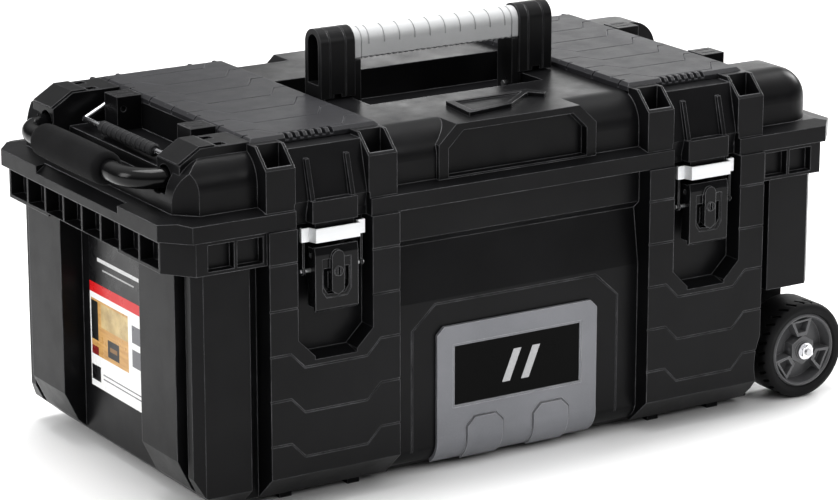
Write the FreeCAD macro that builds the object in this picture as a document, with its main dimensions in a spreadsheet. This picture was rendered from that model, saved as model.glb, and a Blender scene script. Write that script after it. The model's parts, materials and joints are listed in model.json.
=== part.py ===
"""Rolling toolbox with a hinged lid, a carry handle, a pull-out handle and two wheels.

Frame: X along the length (wheels at +X, pull-out handle at -X), front at -Y, Z up.
The origin is at floor level under the middle of the box. All sizes are in millimetres.
"""
import FreeCAD, Part
import math
import os
from types import SimpleNamespace

os.makedirs("parts", exist_ok=True)
doc = FreeCAD.newDocument("toolbox")
V = FreeCAD.Vector

# ---------------------------------------------------------------- driving dimensions
DIMENSIONS = {
    # tub
    "tub_floor": 7.0, "tub_rim": 247.7, "tub_wall": 4.0, "tub_half_long": 330.0,
    "middle_wall": 157.0, "pillar_face": 174.0, "pillar_half": 63.8, "column_face": 164.0,
    "label_recess": 308.7, "pilaster_inner": 75.0, "pilaster_outer": 139.0,
    "band_low": 219.0, "band_half_long": 345.0, "band_half_wide": 170.0,
    "bevel_top": 30.0, "ledge_height": 216.0, "ledge_undercut": 149.0,
    # latch line
    "latch_offset": 194.4, "recess_half": 36.7, "recess_back": 155.0, "recess_low": 134.0,
    "lever_pivot_depth": 168.0, "lever_pivot_height": 221.0,
    "strap_pivot_depth": 167.0, "strap_pivot_height": 208.0,
    "lever_half": 21.0, "lever_face": 176.0, "lever_low": 172.5, "lever_top": 229.0,
    "strap_face": 178.5, "strap_low": 234.0, "strap_top": 246.0, "strap_half": 31.0,
    # lid
    "flange_low": 248.0, "flange_edge_top": 262.7, "flange_root": 266.0,
    "flange_half_long": 350.0, "flange_half_wide": 172.3,
    "flange_corner_long": 21.1, "flange_corner_wide": 23.2,
    "lid_half_long": 330.0, "lid_half_wide": 155.0, "lid_corner": 17.0,
    "shoulder_radius": 28.0, "dome_radius": 38.0, "deck": 313.0, "lid_wall": 3.5,
    "panel_inner": 130.0, "panel_outer": 256.0, "panel_top": 320.0, "panel_half_wide": 140.0,
    "end_recess_floor": 289.0, "end_recess_half": 98.0, "end_shelf": 279.0,
    "post_inner": 35.6, "post_outer": 63.8, "post_face": 169.5,
    "well_half_long": 91.0, "well_half_wide": 60.0, "wing_half_long": 127.0,
    "wing_front": -8.8, "well_rear": 62.5, "well_floor": 285.0,
    # carry handle
    "carry_pivot_wide": -14.0, "carry_pivot_height": 302.0, "carry_top": 376.0,
    "carry_width": 28.0, "carry_leg_inner": 87.0, "carry_leg_outer": 122.0, "carry_leg_low": 314.5,
    "grip_low": 346.5, "grip_top": 374.0,
    # pull-out handle
    "tube_radius": 9.0, "tube_bore": 7.0, "tube_offset": 112.0, "tube_height": 290.5,
    "bar_offset": 349.0, "bend_radius": 34.0, "tube_inner_end": 70.0,
    "foam_radius": 15.5, "foam_half": 62.5,
    # end bails
    "bail_pivot_long": 274.0, "bail_pivot_height": 309.0, "bail_arm_wide": 84.5,
    "bail_wire": 2.5, "bail_bar_long": 298.0, "bail_bar_height": 297.3, "bail_grip_radius": 5.8,
    "bail_grip_half": 49.0,
    # wheels
    "wheel_radius": 46.0, "wheel_long": 318.5, "wheel_outer": 165.0, "wheel_inner": 123.0,
    "rim_radius": 35.0, "axle_radius": 5.0, "axle_half": 165.4,
    "stud_radius": 3.2, "stud_half": 172.0, "arch_radius": 66.0,
    "hub_bore": 5.06,
    # lid hinge
    "hinge_wide": 174.8, "hinge_height": 248.9, "knuckle_radius": 5.2, "hinge_pin": 2.0,
}

sheet = doc.addObject("Spreadsheet::Sheet", "d")
for row, (alias, amount) in enumerate(DIMENSIONS.items(), start=1):
    sheet.set("A%d" % row, alias)
    sheet.set("B%d" % row, str(amount))
    sheet.setAlias("B%d" % row, alias)
doc.recompute()
d = SimpleNamespace(**{alias: float(sheet.get(alias)) for alias in DIMENSIONS})

PARTS = {}


# ---------------------------------------------------------------- modelling helpers
def bind(feature, **sizes):
    """Tie properties of a feature to spreadsheet expressions, or set them to plain numbers."""
    for name, amount in sizes.items():
        if isinstance(amount, str):
            feature.setExpression(name, amount)
        else:
            setattr(feature, name, amount)


def place(feature, origin, rotation=None):
    """Put a feature at an origin whose coordinates are numbers or spreadsheet expressions."""
    numbers = [0.0 if isinstance(c, str) else c for c in origin]
    feature.Placement = FreeCAD.Placement(V(*numbers), rotation or FreeCAD.Rotation())
    for axis, coordinate in zip("xyz", origin):
        if isinstance(coordinate, str):
            feature.setExpression("Placement.Base.%s" % axis, coordinate)


def box(low, high):
    """A box between two corners; each coordinate is a number or a spreadsheet expression."""
    feature = doc.addObject("Part::Box", "box")
    place(feature, low)
    for name, a, b in zip(("Length", "Width", "Height"), low, high):
        if isinstance(a, str) or isinstance(b, str):
            feature.setExpression(name, "(%s) - (%s)" % (b, a))
        else:
            setattr(feature, name, b - a)
    return feature


TURNS = {
    "X": FreeCAD.Rotation(V(0, 1, 0), 90),
    "Y": FreeCAD.Rotation(V(1, 0, 0), -90),
    "Z": FreeCAD.Rotation(),
}


def cylinder(axis, start, radius, length):
    """A cylinder from a start point along +X, +Y or +Z."""
    feature = doc.addObject("Part::Cylinder", "cylinder")
    place(feature, start, TURNS[axis])
    bind(feature, Radius=radius, Height=length)
    return feature


def cone(axis, start, radius_start, radius_end, length):
    """A cone from a start point along +X, +Y or +Z."""
    feature = doc.addObject("Part::Cone", "cone")
    place(feature, start, TURNS[axis])
    bind(feature, Radius1=radius_start, Radius2=radius_end, Height=length)
    return feature


SKETCH_PLANES = {"XY": "XY_Plane", "XZ": "XZ_Plane", "YZ": "YZ_Plane"}


def outline_edges(points):
    """Edges of a closed outline. A point is (u, v), or (u, v, bulge_u, bulge_v) for an arc
    that reaches (u, v) from the point before it by way of the bulge point."""
    edges = []
    for before, point in zip([points[-1]] + points[:-1], points):
        start, end = V(before[0], before[1], 0), V(point[0], point[1], 0)
        if len(point) == 4:
            edges.append(Part.Arc(start, V(point[2], point[3], 0), end))
        else:
            edges.append(Part.LineSegment(start, end))
    return edges


def prism(plane, points, low, high):
    """A padded sketch. Outlines lie in (x, y), (x, z) or (y, z); low and high are the ends of
    the pad along the third axis, as numbers or spreadsheet expressions."""
    body = doc.addObject("PartDesign::Body", "body")
    sketch = body.newObject("Sketcher::SketchObject", "sketch")
    role = SKETCH_PLANES[plane]
    origin_plane = [f for f in body.Origin.OriginFeatures if f.Role == role][0]
    sketch.AttachmentSupport = [(origin_plane, "")]
    sketch.MapMode = "FlatFace"
    for edge in outline_edges(points):
        sketch.addGeometry(edge)
    flipped = plane == "XZ"
    near, far = (high, low) if flipped else (low, high)
    sign = "-" if flipped else ""
    if isinstance(near, str):
        sketch.setExpression("AttachmentOffset.Base.z", "%s(%s)" % (sign, near))
    else:
        sketch.AttachmentOffset = FreeCAD.Placement(V(0, 0, -near if flipped else near), FreeCAD.Rotation())
    pad = body.newObject("PartDesign::Pad", "pad")
    pad.Profile = sketch
    if isinstance(low, str) or isinstance(high, str):
        pad.setExpression("Length", "(%s) - (%s)" % (high, low))
    else:
        pad.Length = high - low
    sketch.Visibility = False
    body.Tip = pad
    return body


def revolve(plane_points, centre, axis):
    """A turned solid: (radius, along) points turned about a line along +Y or +X at centre."""
    body = doc.addObject("PartDesign::Body", "turned")
    sketch = body.newObject("Sketcher::SketchObject", "profile")
    plane = [f for f in body.Origin.OriginFeatures if f.Role == "XZ_Plane"][0]
    sketch.AttachmentSupport = [(plane, "")]
    sketch.MapMode = "FlatFace"
    for edge in outline_edges(plane_points):
        sketch.addGeometry(edge)
    turn = body.newObject("PartDesign::Revolution", "turn")
    turn.Profile = sketch
    turn.ReferenceAxis = (sketch, ["V_Axis"])
    turn.Angle = 360
    body.Tip = turn
    place(body, centre, TURNS[axis])
    return body


def fuse(*features):
    """One solid made of several touching or overlapping features."""
    feature = doc.addObject("Part::MultiFuse", "fuse")
    feature.Shapes = list(features)
    return feature


def cut(base, *tools):
    """The base feature with one or more tools taken away."""
    feature = doc.addObject("Part::Cut", "cut")
    feature.Base = base
    feature.Tool = tools[0] if len(tools) == 1 else fuse(*tools)
    return feature


def common(*features):
    """The space that all of these features share."""
    feature = doc.addObject("Part::MultiCommon", "common")
    feature.Shapes = list(features)
    return feature


def mirror(source, normal):
    """The mirror image of a feature in the plane through the origin with this normal."""
    feature = doc.addObject("Part::Mirroring", "mirror")
    feature.Source = source
    feature.Base = V(0, 0, 0)
    feature.Normal = V(*normal)
    return feature


def both(source, normal=(0, 1, 0)):
    """A feature and its mirror image, from front to rear unless told otherwise."""
    return [source, mirror(source, normal)]


def group(*features):
    """Separate solids that share one node."""
    feature = doc.addObject("Part::Compound", "group")
    feature.Links = list(features)
    return feature


def part(label, feature):
    """Name a finished sub-part; the name is also its file's name."""
    feature.Label = label
    PARTS[label] = feature
    return feature


def quarter_outline(quarter):
    """A closed outline from its left-front quarter, mirrored left to right and front to rear."""
    front = quarter + [(-x, y) for x, y in reversed(quarter)]
    return front + [(x, -y) for x, y in reversed(front)]


def octagon(half_x, half_y, corner_x, corner_y):
    """A rectangle with cut corners, centred on the origin."""
    return quarter_outline([(-half_x, -half_y + corner_y), (-half_x + corner_x, -half_y)])


LATCHES = {"left": -d.latch_offset, "right": d.latch_offset}


# ---------------------------------------------------------------- tub
def tub_outline(inset):
    """Plan outline of the tub: end pilasters, corner columns, pillars and the middle walls."""
    inner = d.latch_offset - d.pillar_half + inset
    outer = d.latch_offset + d.pillar_half - inset
    return quarter_outline([
        (-d.label_recess + inset, -d.pilaster_inner - inset),
        (-d.tub_half_long + inset, -d.pilaster_inner - inset),
        (-d.tub_half_long + inset, -d.pilaster_outer + inset),
        (-312 + inset, -d.pilaster_outer + inset),
        (-312 + inset, -147),
        (-324 + inset, -147),
        (-324 + inset, -156),
        (-316 + inset, -d.column_face + inset),
        (-272 - inset, -d.column_face + inset),
        (-272 - inset, -150 + inset),
        (-outer, -150 + inset),
        (-outer, -d.pillar_face + inset),
        (-inner, -d.pillar_face + inset),
        (-inner, -d.middle_wall + inset),
    ])


def groove_strip(centre, height, end_half, drop):
    """A raised-plate groove on a pillar: straight, or stepped down by drop in the middle."""
    width, turn, flat = 1.4, 44.0, 30.8
    upper = [(-end_half, height), (-turn, height), (-flat, height - drop),
             (flat, height - drop), (turn, height), (end_half, height)]
    lower = [(x, z - width) for x, z in reversed(upper)]
    points = [(centre + x, z) for x, z in upper + lower]
    return prism("XZ", points, -d.pillar_face - 1, -d.pillar_face + 1.0)


def pillar_grooves(centre):
    """Five rows of plate edges on the face of one pillar."""
    pitch, first, drop = 39.8, 60.3, 13.5
    strips = [groove_strip(centre, first + row * pitch, d.pillar_half + 1, drop) for row in range(3)]
    for row in (3, 4):
        height = first + row * pitch
        for side in (-1, 1):
            ends = sorted((centre + side * d.recess_half, centre + side * (d.pillar_half + 1)))
            strips.append(box((ends[0], -d.pillar_face - 1, height - 1.4),
                              (ends[1], -d.pillar_face + 1.0, height)))
    return strips


def latch_recess(centre):
    """The pocket in a pillar that holds the latch, with a sloped lower lip."""
    half, low_half = d.recess_half, 20.5
    pocket = prism("XZ", [
        (centre - half, 260), (centre - half, 150), (centre - low_half, d.recess_low),
        (centre + low_half, d.recess_low), (centre + half, 150), (centre + half, 260),
    ], "-d.pillar_face - 1", "-d.recess_back")
    lip = prism("YZ", [
        (-d.pillar_face - 1, d.recess_low - 3.4), (-d.pillar_face - 1, d.recess_low + 1),
        (-d.recess_back - 4, d.recess_low + 1), (-d.recess_back - 4, d.recess_low),
    ], centre - low_half, centre + low_half)
    return [pocket, lip]


def latch_lug(centre):
    """The lug at the back of a latch recess that holds the lever's pivot pin."""
    half = 12.0
    barrel = cylinder("X", (centre - half, "-d.lever_pivot_depth", "d.lever_pivot_height"), 4.2, 2 * half)
    web = box((centre - half, "-d.lever_pivot_depth", "d.lever_pivot_height - 8"),
              (centre + half, "-d.recess_back + 0.5", "d.lever_pivot_height"))
    bore = cylinder("X", (centre - half - 1, "-d.lever_pivot_depth", "d.lever_pivot_height"),
                    2.0, 2 * half + 2)
    return cut(fuse(barrel, web), bore)


def rim_pockets():
    """Open pockets between the ribs of the rim band, on both ends and beside the pillars."""
    pitch, rib, count, depth = 35.6, 2.4, 8, 14.0
    low, high = d.band_low + 3, d.tub_rim - 3
    pockets = []
    for index in range(count):
        start = (index - count / 2) * pitch + rib / 2
        pockets.append(box((-d.band_half_long - 1, start, low),
                           (-d.band_half_long + depth - 1, start + pitch - rib, high)))
    tools = both(fuse(*pockets), (1, 0, 0))
    front = [box((left, -d.band_half_wide - 1, low), (left + 24.5, -d.band_half_wide + 8, high))
             for left in (262.0, 289.5)]
    front = fuse(*front)
    tools += both(front) + both(mirror(front, (1, 0, 0)))
    raised = box((-d.band_half_long - 1, -66, d.band_low - 1), (-d.tub_half_long, 66, d.band_low + 2.5))
    return tools + both(raised, (1, 0, 0))


def tub_cavity():
    """The space inside the tub, kept clear of the wheel housings and the latch recesses."""
    main = box(("-d.label_recess + d.tub_wall", -145, "d.tub_floor + d.tub_wall"),
               ("d.label_recess - d.tub_wall", 145, "d.tub_rim + 1"))
    pillar_hollows = []
    for centre in LATCHES.values():
        pillar_hollows.append(box((centre - 59.8, -151, "d.tub_floor + 17"),
                                  (centre + 59.8, -140, "d.tub_rim - 4")))
        for side in (-1, 1):
            ends = sorted((centre + side * 41, centre + side * 59.8))
            pillar_hollows.append(box((ends[0], -169, 36), (ends[1], -140, "d.tub_rim - 4")))
    pilaster = box((-326, "d.pilaster_inner + d.tub_wall", 66), (-300, "d.pilaster_outer - d.tub_wall", 240))
    pilasters = both(pilaster) + both(mirror(pilaster, (1, 0, 0)))
    column = box((-304, -159, 60), (-276, -140, 215))
    front_hollows = fuse(*pillar_hollows, column)
    everything = fuse(main, *both(front_hollows), *pilasters)
    housing = cylinder("Y", ("d.wheel_long", -190, "d.wheel_radius"), "d.arch_radius + 4", 190 - 106 + 4)
    end_step = box((292, -200, -10), (400, 200, 104))
    solid_zone = fuse(housing, mirror(housing, (0, 1, 0)), end_step)
    return cut(everything, solid_zone)


def middle_outline():
    """A thin eight-sided line on the middle wall, around the front plate."""
    def ring(inset):
        half, top = 109.0 - inset, 155.0 - inset
        return [(-half, 20 + inset), (-half, 133), (-85 + inset / 2, top), (85 - inset / 2, top), (half, 133),
                (half, 20 + inset)]
    depth = 1.0
    return cut(prism("XZ", ring(0.0), "-d.middle_wall - 1", -d.middle_wall + depth),
               prism("XZ", ring(1.4), "-d.middle_wall - 2", -d.middle_wall + depth + 1))


def tub():
    """The open box: walls, rim band, pillars, wheel housings and the axle bay."""
    walls = prism("XY", tub_outline(0), "d.tub_floor", "d.tub_rim")
    band = prism("XY", octagon(d.band_half_long, d.band_half_wide, 20, 26), "d.band_low", "d.tub_rim")
    inner = d.latch_offset - d.pillar_half
    front_gap = box((-inner, -200, "d.band_low - 5"), (inner, "-d.middle_wall", "d.tub_rim + 5"))
    rear_gap = box((-inner, "d.middle_wall", "d.band_low - 5"), (inner, 200, "d.tub_rim + 5"))
    solid = fuse(walls, cut(band, front_gap, rear_gap))
    front_bevel = prism("YZ", [
        (-200, -5), (-200, d.bevel_top), (-d.pillar_face, d.bevel_top), (-148, d.tub_floor - 0.5), (-148, -5),
    ], -400, 400)
    end_bevel = prism("XZ", [
        (-400, -5), (-400, 50), (-d.tub_half_long, 50), (-317, 23), (-298, d.tub_floor - 0.5), (-298, -5),
    ], -200, 200)
    ledge = prism("YZ", [
        (-d.middle_wall - 5, 158), (-d.middle_wall, 158), (-d.ledge_undercut, d.ledge_height - 7),
        (-d.middle_wall, d.ledge_height), (-d.middle_wall - 5, d.ledge_height),
    ], -inner, inner)
    middle_round = prism("YZ", [
        (-200, -5), (-200, 34), (-d.middle_wall, 34), (-145.4, 9.3, -154.1, 17.5), (-143, 6.5), (-143, -5),
    ], -inner, inner)
    tools = both(front_bevel) + both(end_bevel, (1, 0, 0)) + both(ledge) + both(middle_round)
    tools += both(middle_outline())
    for centre in LATCHES.values():
        tools += latch_recess(centre) + pillar_grooves(centre)
    tools += rim_pockets()
    arch = cylinder("Y", ("d.wheel_long", -190, "d.wheel_radius"), "d.arch_radius", 190 - 112)
    above_wheel = box((262, -190, -5), (400, -112, "d.arch_radius + d.wheel_radius"))
    tools += both(fuse(arch, above_wheel))
    axle_bay = box((296, -106, -1), (400, 106, 100))
    tools.append(axle_bay)
    tools.append(tub_cavity())
    knuckle_room = [cylinder("X", (centre - 32, "d.hinge_wide", "d.hinge_height"),
                             "d.knuckle_radius + 0.9", 64) for centre in LATCHES.values()]
    shell = cut(solid, *tools, *knuckle_room)
    bosses = both(cylinder("Y", ("d.wheel_long", -112, "d.wheel_radius"), 11.0, 6))
    brackets = both(box((300, -112, 30), ("d.wheel_long", -106, 104)))
    axle_bore = cylinder("Y", ("d.wheel_long", -180, "d.wheel_radius"), "d.axle_radius + 0.05", 360)
    frame = cut(fuse(shell, *bosses, *brackets), axle_bore)
    return fuse(frame, *[latch_lug(centre) for centre in LATCHES.values()])


def feet():
    """Eight small pads under the pillars."""
    pads = []
    for centre in LATCHES.values():
        for side in (-33, 35):
            pad = box((centre + side - 6, -142, 0), (centre + side + 6, -130, "d.tub_floor"))
            pads += both(pad)
    return group(*pads)


def plate_section(outset):
    """Section of the front plate in (y, z): upright, then curling under the tub's lower edge."""
    face, top = -160.3 - outset, 140.0
    curl = (-147 - outset * 0.4, 6.2 - outset, -156.7 - outset * 0.8, 15.6 - outset * 0.7)
    return [(face, top), (face, 33), curl, (-145.5, 9.2), (-157.05, 34, -154.15, 17.5), (-157.05, top)]


def front_plate():
    """The grey plate on the front wall: a window frame that curls under the lower edge."""
    half, top, window_half, corner = 84.3, 133.0, 66.2, 7.0
    slab = prism("XZ", [
        (-half, 4), (-half, top - corner), (-half + corner, top), (half - corner, top), (half, top - corner),
        (half, 4)], -164, -140)
    window = box((-window_half, -170, 59.2), (window_half, -150, 113.7))
    rim = prism("XZ", [
        (-window_half - 2, 57.2), (-window_half - 2, 115.7),
        (window_half + 2, 115.7), (window_half + 2, 57.2),
    ], -165, -159.8)
    tabs = []
    for centre in (-35.0, 35.0):
        upright = prism("XZ", tab_outline(centre, 0.0), -164, -140)
        tabs.append(common(upright, prism("YZ", plate_section(1.6), -100, 100)))
    body = fuse(common(slab, prism("YZ", plate_section(0.0), -100, 100)), *tabs)
    return cut(body, window, rim, *[tab_ring(centre) for centre in (-35.0, 35.0)])


def tab_outline(centre, outset):
    """Outline of a clip tab on the front plate: an upright shape with cut upper corners."""
    half, low, top, corner = 18.5 + outset, 2.0, 45.5 + outset, 8.0
    return [(centre - half, low), (centre - half, top - corner), (centre - half + corner, top),
            (centre + half - corner, top), (centre + half, top - corner), (centre + half, low)]


def tab_ring(centre):
    """A thin groove round a clip tab."""
    return cut(prism("XZ", tab_outline(centre, 1.3), -166, -159.2),
               prism("XZ", tab_outline(centre, 0.0), -167, -158))


def badge_insert():
    """A dark panel that fills the plate's window, with two plain slanted bars on it."""
    half, low, high = 65.9, 59.5, 113.4
    panel = box((-half, -158.8, low), (half, -157.1, high))
    bars = []
    for start in (-16.0, 4.0):
        bars.append(prism("XZ", [(start, 72), (start + 8, 72), (start + 20, 101), (start + 12, 101)],
                          -159.4, -158.8))
    return fuse(panel, *bars)


def end_label():
    """A thin sticker in the recess of the left end wall."""
    return box(("-d.label_recess - 0.5", -61, 60), ("-d.label_recess", 61, 199))


def axle():
    """The axle, with a thinner threaded stud at each end."""
    bar = cylinder("Y", ("d.wheel_long", "-d.axle_half", "d.wheel_radius"),
                   "d.axle_radius", "2 * d.axle_half")
    stud = cylinder("Y", ("d.wheel_long", "-d.stud_half", "d.wheel_radius"),
                    "d.stud_radius", "2 * d.stud_half")
    return fuse(bar, stud)


def hexagon(corner):
    """A hexagon round the wheels' axis, in (x, z)."""
    return [(d.wheel_long + corner * math.sin(math.pi * k / 3),
             d.wheel_radius + corner * math.cos(math.pi * k / 3)) for k in range(6)]


def axle_nuts():
    """A hexagonal nut on each end of the axle."""
    nut = cut(prism("XZ", hexagon(6.6), -170.2, -166.7),
              cylinder("Y", ("d.wheel_long", -175, "d.wheel_radius"), "d.stud_radius", 20))
    return group(*both(nut))


def axle_washers():
    """A plain washer under each nut."""
    washer = cut(cylinder("Y", ("d.wheel_long", -166.7, "d.wheel_radius"), 8.0, 1.2),
                 cylinder("Y", ("d.wheel_long", -175, "d.wheel_radius"), "d.stud_radius", 20))
    return group(*both(washer))


# ---------------------------------------------------------------- lid hinge
HINGE_TUB_KNUCKLES = ((-30.0, -12.0), (12.0, 30.0))
HINGE_LID_KNUCKLE = (-11.7, 11.7)


def hinge_bore():
    """The long bore through all hinge knuckles."""
    return cylinder("X", (-400, "d.hinge_wide", "d.hinge_height"), "d.hinge_pin + 0.05", 800)


def tub_hinge_leaf(centre):
    """Two knuckles on a plate fixed to the rear pillar."""
    plate = box((centre - 30, "d.pillar_face", 226), (centre + 30, "d.pillar_face + 3", 242.5))
    pieces = [plate]
    for low, high in HINGE_TUB_KNUCKLES:
        pieces.append(cylinder("X", (centre + low, "d.hinge_wide", "d.hinge_height"),
                               "d.knuckle_radius", high - low))
        pieces.append(box((centre + low, "d.pillar_face", 240),
                          (centre + high, "d.pillar_face + 3", "d.hinge_height")))
    return cut(fuse(*pieces), hinge_bore())


def lid_hinge_leaf(centre):
    """One knuckle on a plate fixed to the lid's rear flange."""
    low, high = HINGE_LID_KNUCKLE
    plate = box((centre - 11.5, "d.flange_half_wide", 253), (centre + 11.5, "d.flange_half_wide + 3", 262))
    barrel = cylinder("X", (centre + low, "d.hinge_wide", "d.hinge_height"), "d.knuckle_radius", high - low)
    web = box((centre + low, "d.flange_half_wide + 0.5", "d.hinge_height"),
              (centre + high, "d.flange_half_wide + 4", 255))
    return cut(fuse(plate, barrel, web), hinge_bore())


def hinge_pins():
    """One steel pin through each rear hinge."""
    pins = [cylinder("X", (centre - 31, "d.hinge_wide", "d.hinge_height"), "d.hinge_pin", 62)
            for centre in LATCHES.values()]
    return group(*pins)


# ---------------------------------------------------------------- lid
def shoulder_profile(inset):
    """Section of the lid across its width: upright walls with large rounded shoulders."""
    half, top, radius = d.lid_half_wide - inset, d.deck - inset, d.shoulder_radius - inset
    diagonal = radius * (1 - math.sqrt(0.5))
    low = d.flange_low + 2
    return [(-half, low), (-half, top - radius),
            (-half + radius, top, -half + diagonal, top - diagonal),
            (half - radius, top), (half, top - radius, half - diagonal, top - diagonal), (half, low)]


def end_profile(inset):
    """Section of the lid along its length, with domed ends."""
    half, top, radius = d.lid_half_long - inset, d.deck - inset, d.dome_radius - inset
    diagonal = radius * (1 - math.sqrt(0.5))
    low = d.flange_low + 2
    return [(-half, low), (-half, top - radius),
            (-half + radius, top, -half + diagonal, top - diagonal),
            (half - radius, top), (half, top - radius, half - diagonal, top - diagonal), (half, low)]


def lid_dome(inset):
    """The raised body of the lid, or the space inside it when inset by the wall's thickness."""
    across = prism("YZ", shoulder_profile(inset), -400, 100)
    along = prism("XZ", end_profile(inset), -300, 300)
    corner = d.lid_corner
    plan = prism("XY", octagon(d.lid_half_long - inset, d.lid_half_wide - inset, corner, corner),
                 "d.flange_low - 5", "d.deck + 5")
    return fuse(common(across, along, plan), rounded_end(inset))


def rounded_end(inset):
    """The right part of the lid's body, with smoothly rounded top and corners."""
    block = box((0, "-d.lid_half_wide + %s" % inset, "d.flange_low + 2"),
                ("d.lid_half_long - %s" % inset, "d.lid_half_wide - %s" % inset, "d.deck - %s" % inset))
    doc.recompute()
    radii = []
    for number, edge in enumerate(block.Shape.Edges, start=1):
        centre, limits = edge.CenterOfMass, block.Shape.BoundBox
        on_top = abs(centre.z - limits.ZMax) < 0.01
        at_end = abs(centre.x - limits.XMax) < 0.01
        upright = at_end and abs(centre.z - limits.ZMax) > 1 and abs(centre.z - limits.ZMin) > 1
        if (on_top and centre.x > 1) or upright:
            radius = d.shoulder_radius - inset
            radii.append((number, radius, radius))
    rounded = doc.addObject("Part::Fillet", "rounded")
    rounded.Base = block
    rounded.Edges = radii
    return rounded


def flange():
    """The lid's flange: an upright edge with a top that rises gently to the lid's body."""
    edge = prism("XY", octagon(d.flange_half_long, d.flange_half_wide, d.flange_corner_long,
                               d.flange_corner_wide), "d.flange_low", "d.flange_edge_top")
    slope_y = prism("YZ", [
        (-d.flange_half_wide, 255), (-d.flange_half_wide, d.flange_edge_top),
        (-d.lid_half_wide, d.flange_root), (d.lid_half_wide, d.flange_root),
        (d.flange_half_wide, d.flange_edge_top), (d.flange_half_wide, 255),
    ], -400, 400)
    slope_x = prism("XZ", [
        (-d.flange_half_long, 255), (-d.flange_half_long, d.flange_edge_top),
        (-d.lid_half_long, d.flange_root), (d.lid_half_long, d.flange_root),
        (d.flange_half_long, d.flange_edge_top), (d.flange_half_long, 255),
    ], -300, 300)
    plan = prism("XY", octagon(d.flange_half_long, d.flange_half_wide, d.flange_corner_long,
                               d.flange_corner_wide), 256, 270)
    return fuse(edge, common(slope_x, slope_y, plan))


def post(centre, low, high):
    """A pocket post beside a latch: a sloped top with an open pocket in it."""
    solid = prism("YZ", [
        (-138, 255), (-d.post_face, 255), (-d.post_face, 299.5), (-151, 317), (-138, 317),
    ], centre + low, centre + high)
    pocket = box((centre + low + 2.5, "-d.post_face + 2.5", 286), (centre + high - 2.5, -146, 330))
    return solid, pocket


def catch_area(centre):
    """The leaning panel between two posts, with its ribs and the catch that the latch pulls on."""
    panel = prism("YZ", [(-138, 255), (-163, 255), (-166.5, 268), (-155.5, 312.5), (-138, 312.5)],
                  centre - d.post_inner, centre + d.post_inner)
    pieces = [panel]
    for offset in (-19.5, 19.5):
        pieces.append(prism("YZ", [(-160, 262), (-171.5, 266), (-161, 303), (-156, 303)],
                            centre + offset - 2, centre + offset + 2))
    pieces.append(box((centre - 22, "-d.pillar_face", 249.7), (centre + 22, -150, 268.7)))
    pieces.append(box((centre - 19, -172.5, 238), (centre + 19, -160, 252)))
    return pieces


def centre_bump():
    """The raised block in the middle of the lid's front, with a recessed panel."""
    block = prism("XZ", [(-82, 255), (-82, 296), (-64, 313), (64, 313), (82, 296), (82, 255)],
                  -158.5, -120)
    recess = prism("XZ", [(-72, 267), (-72, 292), (-57, 306.5), (57, 306.5), (72, 292), (72, 267)],
                   -170, -150)
    return block, recess


def well_tool(margin, low):
    """The well that the carry handle folds into, or its outer walls when given a margin."""
    front = box((-d.well_half_long - margin, -d.well_half_wide - margin, low),
                (d.well_half_long + margin, d.well_rear + margin, 330))
    rear = box((-d.wing_half_long - margin, d.wing_front - margin, low),
               (d.wing_half_long + margin, d.well_rear + margin, 330))
    return fuse(front, rear)


def end_recess(margin, top):
    """The recess in the lid's end for the end bail and the pull-out handle's grip."""
    half, step = d.end_recess_half, 24.0
    deep = box((-400, -half - margin, d.end_shelf - margin),
               (-d.lid_half_long + step + margin, half + margin, top))
    floor = box((-400, -half - margin, d.end_recess_floor - margin),
                (-d.panel_outer + margin, half + margin, top))
    return fuse(deep, floor)


def corner_post():
    """The block beside an end recess, up to the level of the top panels, with a sloped cap seat."""
    return prism("XZ", [
        (-322, 270), (-322, 306), (-302, 318.5), (-d.panel_outer, 318.5), (-d.panel_outer, 270),
    ], -138, -d.end_recess_half)


def hinge_clearance(centre):
    """Room in the lid's rear flange for the tub's hinge knuckles."""
    return cylinder("X", (centre - 31, "d.hinge_wide", "d.hinge_height"), "d.knuckle_radius + 0.9", 62)


def tube_slot():
    """The slot in the lid's end through which one leg of the pull-out handle slides."""
    bore = cylinder("X", (-400, "-d.tube_offset", "d.tube_height"), 12.0, 400 - 250)
    mouth = box((-400, "-d.tube_offset - 14", "d.tube_height - 10"), (-322, -97, "d.tube_height + 11"))
    return fuse(bore, mouth)


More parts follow.
